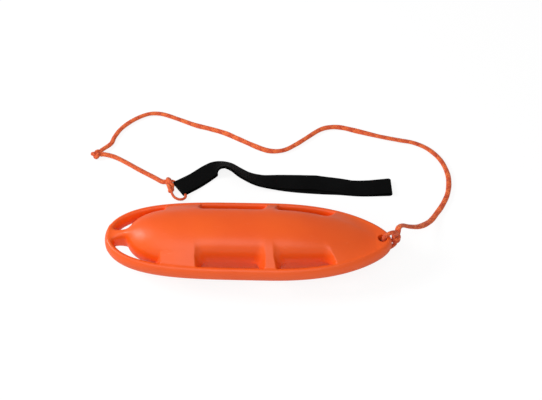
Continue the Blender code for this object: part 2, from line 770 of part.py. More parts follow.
def build():
    orange = finish("orange_polyethylene", (0.90, 0.12, 0.02), 0.38)
    foam = finish("white_foam", (0.85, 0.83, 0.76), 0.90)
    plug_look = finish("black_nylon", (0.03, 0.03, 0.03), 0.45)
    rubber = finish("grey_rubber", (0.10, 0.10, 0.10), 0.80)
    rope_look = finish("orange_braid", (0.75, 0.10, 0.03), 0.70)
    webbing = finish("black_webbing", (0.01, 0.01, 0.01), 0.75)
    make_shell(orange)
    make_foam(foam)
    make_plug(plug_look, rubber)
    make_eye_loop(rope_look)
    middle = make_line(rope_look)
    make_strap(webbing)
    make_strap_end(middle, rope_look)


build()
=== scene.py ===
# Looks of the rescue buoy: a moulded float, a braided tow line and a webbing strap.
# Metres, in the CAD's frame. The nose points to +X, and the line and the strap lie at +Y.
import math

import bpy
import numpy as np
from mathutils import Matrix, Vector


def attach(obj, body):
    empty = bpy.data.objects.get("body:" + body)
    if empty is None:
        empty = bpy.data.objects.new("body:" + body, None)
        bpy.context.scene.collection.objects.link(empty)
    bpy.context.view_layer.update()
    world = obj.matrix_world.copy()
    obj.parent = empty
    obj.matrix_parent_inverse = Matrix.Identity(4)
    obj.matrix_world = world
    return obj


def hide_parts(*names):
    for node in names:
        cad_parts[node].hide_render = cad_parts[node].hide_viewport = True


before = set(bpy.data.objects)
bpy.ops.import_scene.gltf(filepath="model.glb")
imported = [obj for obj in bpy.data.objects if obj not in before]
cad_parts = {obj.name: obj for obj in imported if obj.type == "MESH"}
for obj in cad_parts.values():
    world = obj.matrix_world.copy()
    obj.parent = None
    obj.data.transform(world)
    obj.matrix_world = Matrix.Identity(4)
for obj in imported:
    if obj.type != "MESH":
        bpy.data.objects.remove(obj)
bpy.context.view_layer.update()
print("stage: frame loaded")

up = np.array([0.0, 0.0, 1.0])


# Camera, light and floor

camera = {
    "place": (0.0926, -1.5933, 2.1277),
    "tilt": 40.0,  # degrees up from straight down
    "turn": 1.33,
    "lens": 70.8,
    "sensor": 36.0,
}

light = {
    "world": 0.41,
    "aim": (0.0, 0.1, 0.05),
    "left": {"place": (-3.4, 0.35, 2.35), "size": 1.4, "power": 92.0},
    "front": {"place": (-0.5, -2.6, 3.0), "size": 3.2, "power": 64.0},
}

floorLook = {
    "size": 16.0,
    "drop": 0.0002,  # under the ground that the float stands on
    "lit": (0.78, 0.78, 0.78, 1.0),  # what lights the float from below
    "seen": (0.86, 0.86, 0.86, 1.0),  # what the camera sees
    "rough": 0.9,
    "glow": 1.08,
    "glowShare": 0.80,  # of what the camera sees, and the rest shows the shadow
}

pureWhite = (1.0, 1.0, 1.0, 1.0)


def makeCamera():
    eye = bpy.data.objects.new("camera", bpy.data.cameras.new("camera"))
    eye.data.sensor_width = camera["sensor"]
    eye.data.lens = camera["lens"]
    eye.location = camera["place"]
    eye.rotation_euler = (math.radians(camera["tilt"]), 0.0, math.radians(camera["turn"]))
    bpy.context.scene.collection.objects.link(eye)
    bpy.context.scene.camera = eye


def makeLamp(name, facts):
    lamp = bpy.data.lights.new(name, "AREA")
    lamp.size = facts["size"]
    lamp.energy = facts["power"]
    thing = bpy.data.objects.new(name, lamp)
    thing.location = facts["place"]
    aim = Vector(light["aim"]) - thing.location
    thing.rotation_euler = aim.to_track_quat("-Z", "Y").to_euler()
    bpy.context.scene.collection.objects.link(thing)


# Node helpers


def setInputs(tree, made, inputs):
    # Links each input to another node's output, or sets its own value.
    for key, value in inputs.items():
        if isinstance(value, bpy.types.NodeSocket):
            tree.links.new(value, made.inputs[key])
        else:
            made.inputs[key].default_value = value


def node(tree, kind, inputs=None, **settings):
    made = tree.nodes.new(kind)
    for key, value in settings.items():
        setattr(made, key, value)
    setInputs(tree, made, inputs or {})
    return made


def calc(tree, operation, a, b=0.0, c=0.0):
    return node(tree, "ShaderNodeMath", {0: a, 1: b, 2: c}, operation=operation).outputs[0]


def between(tree, value, low, high):
    # 0 at low and 1 at high, with a smooth step from one to the other. low may be the larger.
    inputs = {"Value": value, "From Min": low, "From Max": high}
    made = node(tree, "ShaderNodeMapRange", inputs, interpolation_type="SMOOTHSTEP")
    return made.outputs["Result"]


def noise(tree, where, scale, detail, rough):
    inputs = {"Vector": where, "Scale": scale, "Detail": detail, "Roughness": rough}
    return node(tree, "ShaderNodeTexNoise", inputs).outputs["Fac"]


def stretched(tree, where, scale):
    made = node(tree, "ShaderNodeMapping", {"Vector": where, "Scale": scale})
    return made.outputs["Vector"]


def mixed(tree, share, first, second):
    # Inputs 6 and 7 and output 2 are the node's colours.
    made = node(tree, "ShaderNodeMix", {0: share, 6: first, 7: second}, data_type="RGBA")
    return made.outputs[2]


def ramp(tree, value, stops):
    made = node(tree, "ShaderNodeValToRGB", {"Fac": value})
    marks = made.color_ramp.elements
    while len(marks) < len(stops):
        marks.new(0.5)
    for mark, (spot, colour) in zip(marks, stops):
        mark.position = spot
        mark.color = (*colour, 1.0)
    return made.outputs["Color"]


def relief(tree, height, depth, normal=None):
    inputs = {"Height": height, "Distance": depth, "Strength": 1.0}
    if normal is not None:
        inputs["Normal"] = normal
    return node(tree, "ShaderNodeBump", inputs).outputs["Normal"]


def newMaterial(name):
    made = bpy.data.materials.new(name)
    made.use_nodes = True
    tree = made.node_tree
    return made, tree, tree.nodes["Principled BSDF"]


def mixShaders(tree, share, first, second, output):
    inputs = {"Fac": share, 1: first.outputs[0], 2: second.outputs[0]}
    both = node(tree, "ShaderNodeMixShader", inputs)
    setInputs(tree, tree.nodes[output], {"Surface": both.outputs[0]})


def makeFloor():
    # A pale floor lights the float from below. The camera sees it whiter, with part of the shadow.
    place = (0.0, 0.0, -floorLook["drop"])
    bpy.ops.mesh.primitive_plane_add(size=floorLook["size"], location=place)
    floor = bpy.context.object
    floor.name = "floor"
    made, tree, shader = newMaterial("floor_white")
    seen = node(tree, "ShaderNodeLightPath").outputs["Is Camera Ray"]
    grey = mixed(tree, seen, floorLook["lit"], floorLook["seen"])
    setInputs(tree, shader, {"Base Color": grey, "Roughness": floorLook["rough"]})
    glow = node(tree, "ShaderNodeEmission", {"Color": pureWhite, "Strength": floorLook["glow"]})
    share = calc(tree, "MULTIPLY", seen, floorLook["glowShare"])
    mixShaders(tree, share, shader, glow, "Material Output")
    floor.data.materials.append(made)


def makeWorld():
    # An even light all round, which the camera sees as white.
    world = bpy.data.worlds.new("world")
    bpy.context.scene.world = world
    world.use_nodes = True
    tree = world.node_tree
    plain = tree.nodes["Background"]
    setInputs(tree, plain, {"Color": pureWhite, "Strength": light["world"]})
    white = node(tree, "ShaderNodeBackground", {"Color": pureWhite, "Strength": 1.0})
    seen = node(tree, "ShaderNodeLightPath").outputs["Is Camera Ray"]
    mixShaders(tree, seen, plain, white, "World Output")


makeCamera()
makeWorld()
makeLamp("left", light["left"])
makeLamp("front", light["front"])
makeFloor()
bpy.context.scene.view_settings.view_transform = "Standard"
print("stage: camera, light and floor")


# Shared shape functions


def meshPiece(name, points, quads, body, material, uv=None, values=None, normals=None):
    # A smooth mesh object from whole arrays. values are point attributes by name.
    mesh = bpy.data.meshes.new(name)
    mesh.from_pydata(points, [], quads)
    if uv is not None:
        layer = mesh.uv_layers.new(name="UVMap")
        layer.data.foreach_set("uv", uv.astype(np.float32).ravel())
    for key, value in (values or {}).items():
        attribute = mesh.attributes.new(key, "FLOAT", "POINT")
        attribute.data.foreach_set("value", value.astype(np.float32).ravel())
    mesh.shade_smooth()
    if normals is not None:
        mesh.normals_split_custom_set_from_vertices(normals)
    mesh.materials.append(material)
    piece = bpy.data.objects.new(name, mesh)
    bpy.context.scene.collection.objects.link(piece)
    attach(piece, body)
    return piece


def smooth(route, fine=24):
    # A Catmull-Rom curve through the route's points: each stretch is a cubic, and its slope at a
    # point is half the step from the point before to the one after.
    route = np.asarray(route, float)
    held = np.concatenate([2 * route[:1] - route[1:2], route, 2 * route[-1:] - route[-2:-1]])
    a, b, c, d = held[:-3, None], held[1:-2, None], held[2:-1, None], held[3:, None]
    t = (np.arange(fine) / fine)[None, :, None]
    bend = (2 * a - 5 * b + 4 * c - d) * t**2 + (3 * b - a - 3 * c + d) * t**3
    line = b + 0.5 * ((c - a) * t + bend)
    return np.concatenate([line.reshape(-1, route.shape[1]), route[-1:]])


def lengths(points):
    steps = np.linalg.norm(np.diff(points, axis=0), axis=1)
    return np.concatenate([[0.0], np.cumsum(steps)])


def even(points, step):
    # The same line with points evenly spaced along it, about one step apart.
    along = lengths(points)
    at = np.linspace(0.0, along[-1], max(8, int(round(along[-1] / step)) + 1))
    return np.stack([np.interp(at, along, column) for column in points.T], axis=1)


def unit(v):
    return v / np.maximum(np.linalg.norm(v, axis=-1, keepdims=True), 1e-12)


def tubeGrid(u, v, closed=False):
    # Quads of a tube of rings in rows, with their uv. u goes round a ring and back to its first
    # point, and v along the rows, back to the first one too if the tube is closed.
    ring, steps = len(u) - 1, len(v) - 1
    rows = steps if closed else steps + 1
    grid = np.arange(rows * ring).reshape(rows, ring)
    ahead = np.roll(grid, -1, axis=0)
    quads = np.stack([grid, ahead, np.roll(ahead, -1, 1), np.roll(grid, -1, 1)], axis=-1)[:steps]
    around = np.stack([u[:-1], u[:-1], u[1:], u[1:]], axis=-1)[None].repeat(steps, 0)
    along = np.stack([v[:-1], v[1:], v[1:], v[:-1]], axis=-1)[:, None].repeat(ring, 1)
    return quads.reshape(-1, 4), np.stack([around, along], axis=-1).reshape(-1, 2)


# Braided rope

rope = {
    "strands": 6,  # in each direction
    "pitch": 0.0052,
    "relief": 0.0009,
    "round": 0.62,  # share of a strand's height that comes from its round section
    "wave": 0.38,  # and from its wave over and under the others
    "level": 0.55,  # the height that lies on the rope's nominal section
    "swell": ((0.035, 61, 1.0), (0.025, 143, 2.1)),  # share, radians a metre, phase by seed
    "tip": 0.0004,  # the square of the share of its size that the rope keeps at a closed end
    "around": 48,
    "step": 0.0010,
    "gap": 0.0003,  # over the ground
}


def ropeFrames(path, level):
    # Directions across and above the rope at each point. A level rope keeps its sides level,
    # and others carry the first direction along without turning it.
    ahead = unit(np.gradient(path, axis=0))
    if level:
        side = unit(np.cross(ahead, up))
    else:
        first = np.cross(ahead[0], up)
        if np.linalg.norm(first) < 0.2:
            first = np.cross(ahead[0], (1.0, 0.0, 0.0))
        side = np.zeros_like(ahead)
        side[0] = first / np.linalg.norm(first)
        for i in range(1, len(ahead)):
            kept = side[i - 1] - ahead[i] * np.dot(side[i - 1], ahead[i])
            side[i] = kept / np.linalg.norm(kept)
    return side, np.cross(side, ahead)


def braidPattern(u, v, seed):
    # Two sets of strands wind round in opposite directions. Each strand is a half round across,
    # and waves over and under the others in turn, and the higher one of the two shows.
    strands, pitch = rope["strands"], rope["pitch"]
    a, b = u * strands + v / pitch, u * strands - v / pitch
    i, j = np.floor(a), np.floor(b)
    roundA = np.sqrt(np.clip(1 - (2 * (a - i) - 1) ** 2, 0, 1))
    roundB = np.sqrt(np.clip(1 - (2 * (b - j) - 1) ** 2, 0, 1))
    overA = rope["round"] * roundA + rope["wave"] * np.cos(math.pi * (b - 0.5 + i))
    overB = rope["round"] * roundB - rope["wave"] * np.cos(math.pi * (a - 0.5 + j))
    rng = np.random.default_rng(seed)
    tones = rng.uniform(0.0, 1.0, (2, strands))
    top = overA > overB
    tone = np.where(top, tones[0][i.astype(int) % strands], tones[1][j.astype(int) % strands])
    yarn = np.where(top, a - i, b - j)
    return np.maximum(overA, overB), tone, yarn


def byShare(value, share):
    # One value all along, or a smooth curve through pairs of share and value.
    if np.isscalar(value):
        return np.full(len(share), float(value))
    table = smooth(np.asarray(value, float), 12)
    return np.interp(share, table[:, 0], table[:, 1])


def braid(name, route, material, size, twist=0.0, level=False, *, seed):
    # A tube of braided rope along a route. At each point it is an ellipse, turned by the twist,
    # that stands out by the height of the strand on top. size is its width and thickness.
    path = even(smooth(route), rope["step"])
    along = lengths(path)
    share = along / along[-1]
    # The section swells and thins a little along the rope, as a loose braid does.
    swell = np.ones_like(along)
    for amount, rate, phase in rope["swell"]:
        swell = swell + amount * np.sin(along * rate + phase * seed)
    wide, thin = byShare(size[0], share) * swell, byShare(size[1], share) * (2 - swell)
    turn = np.radians(byShare(twist, share))
    half = np.hypot(wide / 2 * np.sin(turn), thin / 2 * np.cos(turn)) + rope["relief"] / 2
    path[:, 2] = np.maximum(path[:, 2], half + rope["gap"])
    side, above = ropeFrames(path, level)
    count = rope["around"]
    u = np.arange(count + 1) / count
    angle = 2 * math.pi * u[None, :-1]
    ring = np.broadcast_to(u[None, :-1], (len(path), count))
    height, tone, yarn = braidPattern(ring, along[:, None], seed)
    # The ends close as half rounds.
    ends = np.minimum(along, along[-1] - along) / (np.minimum(wide, thin) / 2)
    close = np.sqrt(np.clip(1 - (1 - np.clip(ends, 0, 1)) ** 2, rope["tip"], 1))[:, None]
    lift = (height - rope["level"]) * rope["relief"]
    c, s = np.cos(angle), np.sin(angle)
    x = (wide[:, None] / 2 * c + lift * c) * close
    y = (thin[:, None] / 2 * s + lift * s) * close
    ct, st = np.cos(turn)[:, None], np.sin(turn)[:, None]
    across, rise = x * ct - y * st, x * st + y * ct
    points = path[:, None] + side[:, None] * across[..., None] + above[:, None] * rise[..., None]
    points = points.reshape(-1, 3)
    quads, uv = tubeGrid(u, along)
    values = {"crest": height, "tone": tone, "yarn": yarn}
    piece = meshPiece(name, points, quads, "line", material, uv, values)
    return piece, path


braidLook = {
    "fluff": (900.0, 3.0, 0.6),  # each noise's scale, detail and roughness
    "patch": (45.0, 2.0, 0.5),
    "tone": 0.34,  # shares of the colour: the strand's own tone, painted shade by its height that darkens the low places between strands, and the noises
    "crest": 0.62,
    "uneven": 0.35,
    "stops": (
        (0.10, (0.20, 0.012, 0.004)),
        (0.38, (0.50, 0.046, 0.011)),
        (0.62, (0.80, 0.110, 0.024)),
        (0.92, (0.97, 0.230, 0.050)),
    ),
    "yarns": 6,  # side by side in a strand
    "yarnRise": 0.30,
    "fluffRise": 0.8,
    "depth": 0.00022,
    "shader": {
        "Roughness": 0.62,
        "Specular IOR Level": 0.35,
        "Sheen Weight": 0.15,
        "Sheen Roughness": 0.5,
    },
}


def braidMaterial():
    look = braidLook
    made, tree, shader = newMaterial("braid_orange")
    crest, tone, yarn = (
        node(tree, "ShaderNodeAttribute", attribute_name=name).outputs["Fac"]
        for name in ("crest", "tone", "yarn")
    )
    where = node(tree, "ShaderNodeTexCoord").outputs["Object"]
    fluff, patch = noise(tree, where, *look["fluff"]), noise(tree, where, *look["patch"])
    # Painted shade: the colour darkens where the strand on top is low, between the strands.
    value = calc(tree, "MULTIPLY", crest, look["crest"])
    value = calc(tree, "MULTIPLY_ADD", tone, look["tone"], value)
    for speck in (fluff, patch):
        speck = calc(tree, "SUBTRACT", speck, 0.5)
        value = calc(tree, "MULTIPLY_ADD", speck, look["uneven"], value)
    lines = calc(tree, "SINE", calc(tree, "MULTIPLY", yarn, 2 * math.pi * look["yarns"]))
    height = calc(tree, "MULTIPLY", fluff, look["fluffRise"])
    height = calc(tree, "MULTIPLY_ADD", lines, look["yarnRise"], height)
    colour, normal = ramp(tree, value, look["stops"]), relief(tree, height, look["depth"])
    setInputs(tree, shader, {"Base Color": colour, "Normal": normal, **look["shader"]})
    return made


# Tow line

line = {
    "eye": (0.3255, 0.0, 0.072),
    "z": 0.0062,  # of the rope's middle on the ground
    "loopTurn": math.radians(25),  # the loop's direction in plan, from the eye to the knot
    "loopReach": 0.039,
    "loopBend": 0.01745,
    "loopCrest": 0.012,
    "loopTuck": 0.004,  # how far its legs start inside the knot and stand straight past it
    "loopSize": (0.0102, 0.0088),  # width and thickness, as in every size here
    "knotHalf": 0.0133,
    "knotCoil": (0.0068, 0.0084, 2.6, 0.6),  # radius, pitch, turns and phase
    "knotSize": (0.0094, 0.0084),
    "knotPort": math.radians(75),  # where the long run leaves the knot
    "knotReach": (0.006, 0.019),
    "midKnot": (-0.4215, 0.3325, 0.0093),
    "midFold": (0.0036, 0.0038, 0.3, 0.85),  # size, height, turn and share of its depth
    "midLift": 0.0010,
    "midSize": (0.0108, 0.0096),
    "midIn": math.radians(54),  # where the long run comes in, and the short one leaves
    "midOut": math.radians(2),
    "midReach": (0.008, 0.0225),
    "start": (
        (0.3680, 0.0435, 0.0790), (0.3790, 0.0575, 0.0710), (0.4020, 0.0700, 0.0510),
        (0.4285, 0.0870, 0.0320), (0.4575, 0.1175, 0.0150), (0.4780, 0.1505, 0.0075),
    ),
    "ground": (
        (0.4960, 0.1810), (0.5115, 0.2180), (0.5180, 0.2560), (0.5170, 0.2900),
        (0.5065, 0.3280), (0.4890, 0.3575), (0.4650, 0.3815), (0.4320, 0.3990),
        (0.3965, 0.4070), (0.3445, 0.4195), (0.2905, 0.4360), (0.2375, 0.4515),
        (0.2035, 0.4510), (0.1765, 0.4390), (0.1405, 0.4075), (0.1140, 0.3845),
        (0.0840, 0.3640), (0.0520, 0.3585), (0.0200, 0.3675), (-0.0380, 0.3990),
        (-0.0805, 0.4225), (-0.1225, 0.4380), (-0.1645, 0.4515), (-0.2090, 0.4715),
        (-0.2470, 0.4880), (-0.2710, 0.4935), (-0.2950, 0.4915), (-0.3210, 0.4785),
        (-0.3470, 0.4570), (-0.3685, 0.4300), (-0.3815, 0.4005), (-0.3880, 0.3765),
    ),
    "tail": (
        (-0.3735, 0.3280), (-0.3435, 0.3110), (-0.2990, 0.2815), (-0.2610, 0.2580),
    ),
    "tailSize": (0.0140, 0.0085),
    "tailTwist": ((0, 0), (0.5, 12), (1, 0)),
    # The long run's width, thickness and turn about itself in degrees, by share of its length.
    "width": (
        (0, 0.0150), (0.08, 0.0160), (0.16, 0.0135), (0.35, 0.0130), (0.6, 0.0130), (1, 0.0120),
    ),
    "thick": ((0, 0.0090), (0.08, 0.0080), (0.3, 0.0075), (0.6, 0.0070), (1, 0.0080)),
    "twist": (
        (0, 30), (0.06, 10), (0.12, 0), (0.38, 0), (0.44, 35), (0.50, 8),
        (0.58, 0), (0.66, 52), (0.74, 40), (0.80, 5), (1, 0),
    ),
}


def eyePoint(out, rise):
    # A point out from the eye's middle along the loop's direction, and up from it.
    turn = line["loopTurn"]
    way = np.array([math.cos(turn), math.sin(turn), 0.0])
    return np.array(line["eye"]) + way * out + up * rise


def loopRoute():
    # From the knot, over the nose, down through the eye and back below. Each bend goes out by
    # the cosine of its angle and up by the sine.
    bend, reach, tuck = line["loopBend"], line["loopReach"], line["loopTuck"]
    middle, inner = reach - bend, reach - 2 * bend
    points = [(reach, line["knotHalf"] - tuck)]
    for a in np.linspace(0, math.pi, 11):
        rise = line["knotHalf"] + tuck + line["loopCrest"] * math.sin(a)
        points.append((middle + bend * math.cos(a), rise))
    points.append((inner, 0.0))
    points += [(out, -rise) for out, rise in points[-2::-1]]
    return [eyePoint(out, rise) for out, rise in points]


def coilRoute(centre, radius, pitch, turns, phase):
    # A helix round an upright axis: a circle that climbs by the pitch at each turn.
    t = np.linspace(0, 2 * math.pi * turns, int(24 * turns))
    z = (t / (2 * math.pi) - turns / 2) * pitch
    ring = np.stack([radius * np.cos(t + phase), radius * np.sin(t + phase), z], axis=1)
    return np.asarray(centre) + ring


def trefoilRoute(centre, size, height, turn, tall):
    # The trefoil knot, laid flat. Across, it is the sine of t plus twice the sine of 2t. In
    # depth, it is the cosine of t less twice the cosine of 2t, and it dips by the sine of 3t.
    start = 0.35  # in radians, where the rope's two ends meet
    t = np.linspace(start, start + 2 * math.pi, 97)
    x = size * (np.sin(t) + 2 * np.sin(2 * t))
    y = size * tall * (np.cos(t) - 2 * np.cos(2 * t))
    z = -height * np.sin(3 * t)
    c, s = math.cos(turn), math.sin(turn)
    return np.asarray(centre) + np.stack([c * x - s * y, s * x + c * y, z], axis=1)


def port(centre, angle, out):
    # A point out from a knot's middle, at an angle in plan.
    return np.asarray(centre) + out * np.array([math.cos(angle), math.sin(angle), 0.0])


def onGround(spots):
    return [(x, y, line["z"]) for x, y in spots]


strap = {
    "width": 0.050,
    "thickness": 0.0020,
    "lift": 0.0002,
    "run": 0.59,  # about the length of one layer
    # The lower layer's far edge: x, y, and the tilt in degrees that lifts its near edge.
    "route": (
        (-0.2030, 0.2405, 0.0), (-0.1670, 0.2670, 0.0), (-0.1315, 0.2975, 3.0),
        (-0.1075, 0.3125, 12.0), (-0.0835, 0.3155, 28.0), (-0.0595, 0.3095, 35.0),
        (-0.0355, 0.2940, 39.0), (-0.0090, 0.2790, 30.0), (0.0230, 0.2720, 16.0),
        (0.0730, 0.2705, 4.0), (0.1270, 0.2665, 0.0), (0.1820, 0.2630, 0.0),
        (0.2320, 0.2615, 0.0), (0.2870, 0.2580, 0.0), (0.3590, 0.2615, 0.0),
    ),
    # Share of the length, space between the layers, and the upper one's sideways shift.
    "layers": (
        (0.00, 0.0102, 0.000), (0.08, 0.0060, 0.002), (0.18, 0.0040, 0.004),
        (0.30, 0.0055, 0.001), (0.45, 0.0034, 0.001), (0.60, 0.0032, 0.009),
        (0.68, 0.0032, 0.012), (0.77, 0.0032, 0.006), (0.84, 0.0034, 0.001),
        (0.92, 0.0060, 0.001), (1.00, 0.0110, 0.001),
    ),
    "step": 0.0020,
    "across": 30,
    "foldSteps": 15,
    "capSteps": 7,
    # Along each edge, the selvedge's start and end from the middle, the width of the step up to
    # it, and how much thicker it is.
    "selvedge": (0.0205, 0.0235, 0.0015, 0.10),
    "closing": 0.0003,  # the last step round the section, in the weave's measure
}


def strapFrame(share):
    # Along the strap: the lower layer's far edge, and its forward, sideways and upward axes.
    dense = smooth(strap["route"], 16)
    flat = lengths(dense[:, :2])
    along = flat / flat[-1]
    x, y, tilt = (np.interp(share, along, column) for column in dense.T)
    near = 0.004  # how far ahead and behind the direction is taken
    ahead = [np.interp(np.minimum(share + near, 1), along, c) for c in dense.T[:2]]
    behind = [np.interp(np.maximum(share - near, 0), along, c) for c in dense.T[:2]]
    forward = unit(np.stack([ahead[0] - behind[0], ahead[1] - behind[1], 0 * x], axis=-1))
    level = np.stack([forward[..., 1], -forward[..., 0], 0 * x], axis=-1)
    lean = np.radians(np.maximum(tilt, 0.0))[..., None]
    across = np.cos(lean) * level + np.sin(lean) * up
    return np.stack([x, y, 0 * x], axis=-1), forward, across, np.cross(across, forward)


def strapPivot():
    edge, forward, across, above = strapFrame(np.array(0.0))
    rise = strap["lift"] + strap["thickness"] / 2 + strap["layers"][0][1] / 2
    return edge + across * strap["width"] / 2 + above * rise, forward, across


def makeNose(look):
    # The loop through the tow eye, and the coil that closes it.
    loop, _ = braid("noseLoop", loopRoute(), look, line["loopSize"], seed=3)
    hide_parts("nose_loop")
    coil = coilRoute(eyePoint(line["loopReach"], 0.0), *line["knotCoil"])
    knot, _ = braid("noseKnot", coil, look, line["knotSize"], seed=5)
    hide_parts("nose_knot")
    return loop, knot


def makeRun(look, loop, knot):
    # The long run from the nose's knot over the ground, and the knot half way.
    knotAt = eyePoint(line["loopReach"], 0.0)
    first = [port(knotAt, line["knotPort"], out) for out in line["knotReach"]]
    last = [port(line["midKnot"], line["midIn"], out) for out in reversed(line["midReach"])]
    route = [*first, *line["start"], *onGround(line["ground"]), *last]
    size = (line["width"], line["thick"])
    run, runPath = braid("towLine", route, look, size, line["twist"], True, seed=7)
    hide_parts("tow_line")

    middle = trefoilRoute(line["midKnot"], *line["midFold"]) + up * line["midLift"]
    midKnot, _ = braid("midKnot", middle, look, line["midSize"], seed=11)
    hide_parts("mid_knot")

    print("long run:", round(float(lengths(runPath)[-1]), 4))


tie = {
    "height": 0.0098,  # of the knot's middle
    # Places towards the near edge and back, from the middle of the strap's fold: the knot's
    # middle, and where its long axis points.
    "heart": (-0.0235, 0.0165),
    "aim": (0.0550, 0.0210),
    # Along that axis, aside and up from the knot's middle, in millimetres.
    "knot": (
        (-13, 10, 0), (-9, 5.5, 1.0), (2, 4.4, 3.0), (13, 3.6, 3.5), (20.5, 0.5, 1.0),
        (17, -4.2, -2.0), (6, -4.6, -3.5), (-8, -4.6, -3.0), (-19, -2.5, -0.5),
        (-20.5, 2.0, 1.5), (-14, 1.5, 4.5), (-3, -2.5, 5.5), (6, -6.5, 1.5),
        (8, -3.0, -4.6), (14, 2.5, -4.4), (20, 4.5, -2.0), (25, 1.5, -0.5),
    ),
    "knotSize": (0.0088, 0.0080),
    # The loop starts along the axis. Then come places towards the near edge and back, each with
    # its share of the knot's rise over the fold, and an end with a rise of its own.
    "loopStart": (0.0205, 0.0308),
    "loop": (
        (0.0180, 0.0285, 0.6), (0.0290, 0.0235, 0.2), (0.0350, 0.0145, 0), (0.0345, 0.0060, 0),
        (0.0295, 0.0010, 0), (0.0250, 0, 0), (0, 0, 0), (-0.0250, 0, 0), (-0.0295, 0, 0),
        (-0.0345, 0.0040, 0),
    ),
    "loopEnd": (-0.0340, 0.0110, 0.002),
    "loopSize": (0.0064, 0.0062),
    # Where the short run enters the knot, back along its axis and aside, and the step before.
    "entry": ((0.013, 0.0106), (0.012, 0.004)),
    "entryStep": (-0.0095, 0.0015, 0.0),
}


def makeTie(look):
    # The knot at the strap, and the small loop from it through the strap's fold.
    centre, forward, across = strapPivot()

    def spot(near, back, rise=0.0):
        return centre + across * near - forward * back + up * rise

    rest = tie["height"] - centre[2]
    heart = spot(*tie["heart"], rest)
    axis = unit(spot(*tie["aim"]) - centre)
    side = np.cross(axis, up)
    side *= -np.sign(side[0])
    bends = np.array(tie["knot"])
    bends = heart + (bends[:, :1] * axis + bends[:, 1:2] * side + bends[:, 2:] * up) / 1000
    strapKnot, _ = braid("strapKnot", bends, look, tie["knotSize"], seed=13)
    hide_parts("strap_knot")

    loopPoints = [heart + axis * out for out in tie["loopStart"]]
    loopPoints += [spot(near, back, rest * share) for near, back, share in tie["loop"]]
    loopPoints += [spot(*tie["loopEnd"])]
    small, _ = braid("strapLoop", loopPoints, look, tie["loopSize"], seed=17)
    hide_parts("strap_loop")
    end, inward = (heart - axis * back + side * aside for back, aside in tie["entry"])
    return strapKnot, small, (end + tie["entryStep"], end, inward)


def makeTail(look, strapKnot, small, entry):
    # The short run from the knot half way to the strap's knot.
    start = [port(line["midKnot"], line["midOut"], out) for out in line["midReach"]]
    route = [*start, *onGround(line["tail"]), *entry]
    tailPiece, tailPath = braid(
        "lineTail", route, look, line["tailSize"], line["tailTwist"], True, seed=19
    )
    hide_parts("line_tail")
    print("short run:", round(float(lengths(tailPath)[-1]), 4))


ropeLook = braidMaterial()
makeRun(ropeLook, *makeNose(ropeLook))
makeTail(ropeLook, *makeTie(ropeLook))
print("stage: tow line")


# Strap

weave = {
    "warp": 0.0014,  # width of a yarn that runs along the strap
    "weft": 0.0026,  # length of one wave over and under
    "height": (0.30, 0.70),  # the wave's share of a yarn's height, and the rest
    "fibre": (1.0, 2.0, 0.6),  # each noise's scale, detail and roughness
    "worn": (16.0, 3.0, 0.6),
    "fibreStretch": (4200.0, 700.0, 1.0),  # across and along
    "fibreRise": 0.25,
    "wornShare": 0.7,
    # share of the colour that is painted shade, darker where the weave is low
    "weaveShadeShare": 0.5,
    "stops": (
        (0.25, (0.0010, 0.0011, 0.0011)),
        (0.65, (0.0024, 0.0026, 0.0027)),
        (0.95, (0.0060, 0.0066, 0.0068)),
    ),
    "depth": 0.00030,
    "shader": {"Roughness": 0.72, "Specular IOR Level": 0.06},
}


def webbingMaterial():
    made, tree, shader = newMaterial("webbing_black")
    uv = node(tree, "ShaderNodeUVMap", uv_map="UVMap").outputs["UV"]
    parts = node(tree, "ShaderNodeSeparateXYZ", {0: uv})
    u, v = parts.outputs[0], parts.outputs[1]
    where = node(tree, "ShaderNodeTexCoord").outputs["Object"]
    # Warp yarns run along the strap, each over and under the weft in turn with its neighbour.
    column = calc(tree, "DIVIDE", u, weave["warp"])
    odd = calc(tree, "MODULO", calc(tree, "FLOOR", column), 2.0)
    yarn = calc(tree, "SINE", calc(tree, "MULTIPLY", calc(tree, "FRACT", column), math.pi))
    row = calc(tree, "MULTIPLY_ADD", odd, 0.5, calc(tree, "DIVIDE", v, weave["weft"]))
    over = calc(tree, "SINE", calc(tree, "MULTIPLY", row, 2 * math.pi))
    woven = calc(tree, "MULTIPLY", yarn, calc(tree, "MULTIPLY_ADD", over, *weave["height"]))
    fibre = noise(tree, stretched(tree, uv, weave["fibreStretch"]), *weave["fibre"])
    height = calc(tree, "MULTIPLY_ADD", fibre, weave["fibreRise"], woven)
    worn = noise(tree, where, *weave["worn"])
    # Painted shade: the colour darkens in the weave's low places, between and under the yarns.
    value = calc(tree, "MULTIPLY", woven, weave["weaveShadeShare"])
    value = calc(tree, "MULTIPLY_ADD", worn, weave["wornShare"], value)
    colour, normal = ramp(tree, value, weave["stops"]), relief(tree, height, weave["depth"])
    setInputs(tree, shader, {"Base Color": colour, "Normal": normal, **weave["shader"]})
    return made


